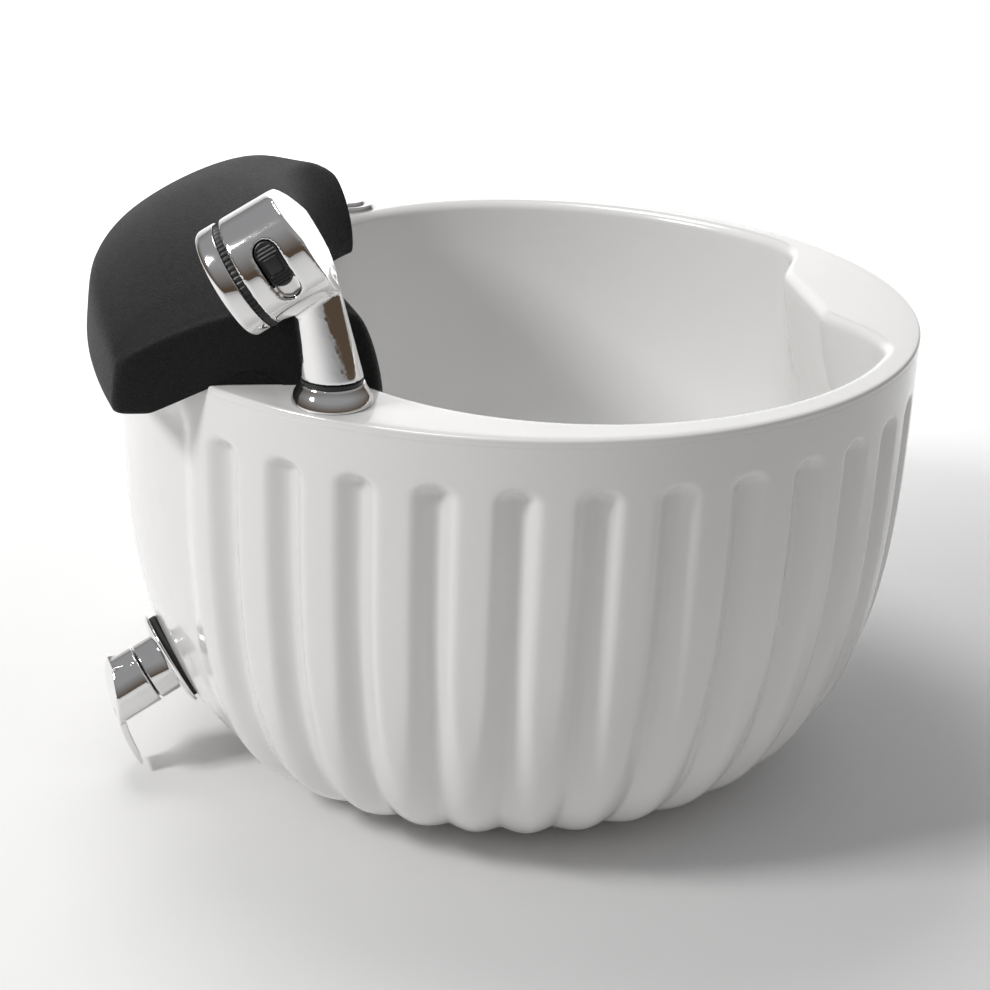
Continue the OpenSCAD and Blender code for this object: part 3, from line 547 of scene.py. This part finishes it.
# %% mixer plate, neck and seal
plate_line = [(20.05, 0), (36, 0), (36, 1.6), (33, 3.6), (28, 5), (20.05, 5)]
wall_plate = turned("domed_plate", plate_line, at_mixer, [0.2, 0.6, 1.6, 4, 3, 0.3], closed=True)
stand_for(wall_plate, "root", "chrome", "mixer_plate")
seal = turned("plate_seal", [(20.6, -4), (32, -4), (32, 0), (20.6, 0)], at_mixer, 0.4, closed=True)
stand_for(seal, "root", "black_rubber", "mixer_gasket")
neck_line = [(17.55, -12), (17.55, 20), (22, 20), (22, 5.05), (20, 5.05), (20, -46), (0, -46), (0, -12)]
neck = turned("mixer_neck", neck_line, at_mixer, [0.2, 0.4, 0.7, 0.2, 0.2, 1, 0.1, 0.1])
stand_for(neck, "root", "chrome", "mixer_body")

# %% waste
plug_line = [(0, 40), (4, 40), (4, 66), (31, 66), (31, 67.2), (24, 69), (0, 69)]
plug = turned("domed_plug", plug_line, at_foot, [0.1, 0.8, 0.4, 0.5, 1.6, 8, 0.1])
stand_for(plug, "plug", "chrome", "waste_plug")
foot_line = [(0, 0), (10, 0), (10, 3), (0, 3)]
corners = [turn_about("Z", 45 + 90 * i) @ shift(129, 0, 0) for i in range(4)]
feet = [turned(f"foot_pad_{i + 1}", foot_line, corner) for i, corner in enumerate(corners)]
for foot in feet:
    stand_for(foot, "root", "black_rubber", "base_feet")

# %% [markdown]
# Finishes are written as arithmetic. A small class wraps a socket, so that scale times
# noise plus an offset reads as it would on paper, and each operation adds its own node.

# %% shader arithmetic
class Wire:
    """One socket of a finish, used like a number."""

    def __init__(self, finish, socket):
        self.finish, self.socket = finish, socket

    def maths(self, operation, *values):
        return self.finish.node("ShaderNodeMath", {"operation": operation}, dict(enumerate(values)))

    def __add__(self, other):
        return self.maths("ADD", self, other)

    def __rsub__(self, other):
        return self.maths("SUBTRACT", other, self)

    def __mul__(self, other):
        return self.maths("MULTIPLY", self, other)

    def __pow__(self, other):
        return self.maths("POWER", self, other)

    def limited(self, low, high):
        above = self.maths("MAXIMUM", self, low)
        return above.maths("MINIMUM", above, high)

    __radd__, __rmul__ = __add__, __mul__


class Finish:
    """A material under one shader, with the piece's own coordinates to draw patterns on."""

    def __init__(self, name, **constants):
        self.material = bpy.data.materials.new(name)
        self.material.use_nodes = True
        self.tree = self.material.node_tree
        self.shader = self.tree.nodes["Principled BSDF"]
        for socket, value in constants.items():
            self.shader.inputs[socket.replace("_", " ")].default_value = value
        self.place = self.node("ShaderNodeTexCoord", out="Object")

    def node(self, kind, settings=None, inputs=None, out=0):
        """Any node: its settings first, then a value or a link for each socket."""
        made = self.tree.nodes.new(kind)
        for key, value in (settings or {}).items():
            if key == "stops":
                ramp = made.color_ramp.elements
                while len(ramp) < len(value):
                    ramp.new(0.5)
                for stop, (at, colour) in zip(ramp, value):
                    stop.position, stop.color = at, colour
            else:
                setattr(made, key, value)
        for key, value in (inputs or {}).items():
            if isinstance(value, Wire):
                self.tree.links.new(value.socket, made.inputs[key])
            else:
                made.inputs[key].default_value = value
        return Wire(self, made.outputs[out])

    def feed(self, **links):
        for socket, wire in links.items():
            self.tree.links.new(wire.socket, self.shader.inputs[socket.replace("_", " ")])
        return self

    def noise(self, scale, detail=3.0, stretch=(1, 1, 1)):
        place = self.node("ShaderNodeMapping", None, {"Vector": self.place, "Scale": stretch})
        return self.node("ShaderNodeTexNoise", None, {"Vector": place, "Scale": scale, "Detail": detail})

    def blend(self, share, first, second):
        return self.node("ShaderNodeMix", {"data_type": "RGBA"}, {0: share, 6: first, 7: second}, out=2)

    def bump(self, height, distance, strength=1.0):
        sockets = {"Height": height, "Distance": distance, "Strength": strength}
        return self.node("ShaderNodeBump", None, sockets)


# %% [markdown]
# Gelcoat is thick, hard and very glossy. What the eye reads as moulded resin rather than
# plain white is a clear coat, a very slow waviness in the surface and a faint warmth.

# %% gelcoat
gelcoat = Finish("gelcoat", Roughness=0.2, Coat_Weight=0.6, Coat_Roughness=0.03, IOR=1.5)
cloud = gelcoat.noise(3.0, 2.0)
specks = gelcoat.noise(240.0, 4.0)
gelcoat.feed(
    Base_Color=gelcoat.blend(cloud.limited(0.2, 0.8), (0.80, 0.795, 0.785, 1), (0.84, 0.838, 0.832, 1)),
    Roughness=0.14 + specks * 0.10,
    Normal=gelcoat.bump(gelcoat.noise(14.0, 1.0) + specks * 0.01, 0.0012, 0.5),
)

# %% [markdown]
# Chrome is a mirror with hardly any colour. Its roughness varies a little with finger
# marks and water spots, and a trace of waviness keeps reflections from being too clean.

# %% chrome
chrome = Finish("chrome", Metallic=1.0, IOR=2.5)
smear = chrome.noise(45.0, 5.0)
spots = chrome.noise(600.0, 2.0)
chrome.feed(
    Base_Color=chrome.blend(smear, (0.80, 0.79, 0.78, 1), (0.86, 0.86, 0.865, 1)),
    Roughness=0.035 + (smear ** 3) * 0.18 + (spots ** 8) * 0.3,
    Normal=chrome.bump(chrome.noise(60.0, 1.0), 0.0002, 0.25),
)

# %% [markdown]
# The pad's skin is moulded with a fine leather grain: small pebbles with creases between
# them. A cellular pattern gives the pebbles, a second one at another scale breaks their
# evenness, and the tops are slightly shinier than the creases.

# %% grained foam skin
skin = Finish("grained_skin", IOR=1.38, Specular_IOR_Level=0.32)
wander = skin.noise(300.0, 2.0)
three_noises = skin.node("ShaderNodeTexNoise", None, {"Vector": skin.place, "Scale": 260.0}, out="Color")
JITTER = 0.0016
jittered = {0: three_noises, 1: (JITTER, JITTER, JITTER), 2: skin.place}
jitter = skin.node("ShaderNodeVectorMath", {"operation": "MULTIPLY_ADD"}, jittered)
to_edge = {"feature": "DISTANCE_TO_EDGE"}
pebbles = skin.node("ShaderNodeTexVoronoi", to_edge, {"Vector": jitter, "Scale": 520.0})
creases = skin.node("ShaderNodeTexVoronoi", to_edge, {"Vector": jitter, "Scale": 230.0})
grain = (pebbles * 3.0).limited(0.0, 1.0) * 0.7 + (creases * 5.0).limited(0.0, 1.0) * 0.3
dusty = skin.noise(9.0, 4.0)
skin.feed(
    Base_Color=skin.blend(grain * 0.7 + dusty * 0.3, (0.005, 0.005, 0.0055, 1), (0.013, 0.013, 0.014, 1)),
    Roughness=0.58 - grain * 0.14 + dusty * 0.08,
    Normal=skin.bump(grain + wander * 0.2, 0.00035, 0.75),
)


# %% other finishes
def plain_finish(name, dark, light, roughness, grain_scale=350.0, depth=0.0001, stretch=(1, 1, 1),
                 **constants):
    """A finish whose colour, roughness and fine relief all follow one noise."""
    made = Finish(name, **constants)
    fine = made.noise(grain_scale, 4.0, stretch)
    broad = made.noise(30.0, 3.0)
    return made.feed(
        Base_Color=made.blend(fine * 0.6 + broad * 0.4, (*dark, 1), (*light, 1)),
        Roughness=(roughness - 0.08) + fine * 0.1 + broad * 0.06,
        Normal=made.bump(fine, depth, 0.6),
    )


finishes = {
    "gelcoat": gelcoat,
    "chrome": chrome,
    "black_foam": skin,
    "plywood": plain_finish("plywood", (0.36, 0.22, 0.11), (0.62, 0.44, 0.26), 0.55, 60.0, 0.0003, (1, 9, 9)),
    "black_rubber": plain_finish("black_rubber", (0.012, 0.012, 0.012), (0.03, 0.03, 0.03),
                                 0.7, 900.0, 0.00008),
    "grey_plastic": plain_finish("grey_plastic", (0.34, 0.35, 0.37), (0.42, 0.43, 0.45), 0.42),
    "white_plastic": plain_finish("white_plastic", (0.76, 0.76, 0.74), (0.82, 0.82, 0.80), 0.35),
    "black_plastic": plain_finish("black_plastic", (0.008, 0.008, 0.009), (0.02, 0.02, 0.022),
                                  0.36, 700.0, 0.00006),
    "brass": plain_finish("brass", (0.56, 0.40, 0.16), (0.76, 0.58, 0.28),
                          0.28, 200.0, 0.00005, Metallic=1.0),
    "spring_steel": plain_finish("spring_steel", (0.42, 0.42, 0.43), (0.60, 0.60, 0.61),
                                 0.3, 500.0, 0.00005, (1, 1, 6), Metallic=1.0),
}

# %% braided hose
braid = Finish("braided_hose", Metallic=0.9, Roughness=0.32)
position = braid.node("ShaderNodeSeparateXYZ", None, {0: braid.place}, out="Z")
diagonal = {"bands_direction": "DIAGONAL"}
one_way = braid.node("ShaderNodeTexWave", diagonal, {"Vector": braid.place, "Scale": 160.0})
strands = position.maths("SINE", position * 5200.0) * 0.5 + one_way * 0.5
braid.feed(
    Base_Color=braid.blend(strands.limited(0.0, 1.0), (0.20, 0.20, 0.21, 1), (0.62, 0.62, 0.63, 1)),
    Normal=braid.bump(strands, 0.0004, 0.8),
)
finishes["braided_hose"] = braid

# %% paint every piece
slots = {row["node"]: row["material_slot"] for row in frame["record"]["subparts"]}
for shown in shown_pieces():
    slot = shown.get("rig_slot") or slots[shown["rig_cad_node"]]
    shown.data.materials.clear()
    shown.data.materials.append(finishes[slot].material)

# %% [markdown]
# The studio: a pale floor that curves up behind, one broad light overhead, a smaller and
# stronger one high on the left that rakes across the flutes, a third that whitens only
# the backdrop, and a dim warm room, because gloss and chrome need both bright and dark.

# %% floor
floor_x = np.linspace(-4500, 4500, 3)[None, :]
sweep = np.linspace(0, 1, 40)[:, None]
rise = np.clip((sweep - 0.7) / 0.3, 0, 1) * np.pi / 2
floor_y = np.where(sweep < 0.7, mix(-4000, 3200, sweep / 0.7), 3200 + 900 * np.sin(rise))
last_wall = 1500 * np.clip((sweep - 0.97) / 0.03, 0, 1)
floor_z = np.where(sweep < 0.7, 0, 900 * (1 - np.cos(rise)) + last_wall)
paper_sheet = np.stack(np.broadcast_arrays(floor_x, floor_y, floor_z), -1)
studio_floor = piece("studio_floor", [(paper_sheet, False, False)])
paper = Finish("studio_paper", Roughness=0.85)
paper.feed(Base_Color=paper.blend(paper.noise(4.0), (0.86, 0.86, 0.86, 1), (0.90, 0.90, 0.90, 1)))
studio_floor.data.materials.append(paper.material)


# %% lights
def soft_light(name, where, towards, size, power, colour):
    """A square panel of light that faces a point."""
    light = bpy.data.lights.new(name, "AREA")
    light.shape, light.size, light.energy, light.color = "SQUARE", size, power, colour
    panel = bpy.data.objects.new(name, light)
    bpy.context.scene.collection.objects.link(panel)
    panel.location = where
    panel.rotation_mode = "QUATERNION"
    panel.rotation_quaternion = (Vector(where) - Vector(towards)).to_track_quat("Z", "Y")
    return panel


soft_light("overhead", (-0.5, 0.5, 2.4), (0, 0, 0.2), 0.9, 20, (1.0, 0.995, 0.98))
soft_light("left_panel", (-2.35, -0.85, 2.1), (0, 0, 0.25), 0.6, 47, (1.0, 0.995, 0.985))
soft_light("backdrop_panel", (0.3, 1.6, 1.9), (0.5, 3.6, 0.2), 1.2, 90, (1.0, 1.0, 1.0))

room = bpy.data.worlds.new("room")
bpy.context.scene.world = room
room.use_nodes = True
sky = room.node_tree
direction = sky.nodes.new("ShaderNodeTexCoord")
height = sky.nodes.new("ShaderNodeSeparateXYZ")
walls = sky.nodes.new("ShaderNodeValToRGB")
sky.links.new(direction.outputs["Generated"], height.inputs[0])
sky.links.new(height.outputs["Z"], walls.inputs[0])
sky.links.new(walls.outputs[0], sky.nodes["Background"].inputs["Color"])
stops = walls.color_ramp.elements
stops[0].position, stops[0].color = 0.0, (0.27, 0.19, 0.13, 1)
stops[1].position, stops[1].color = 0.6, (0.92, 0.93, 0.95, 1)
sky.nodes["Background"].inputs["Strength"].default_value = 0.34
bpy.context.scene.view_settings.view_transform = "Standard"
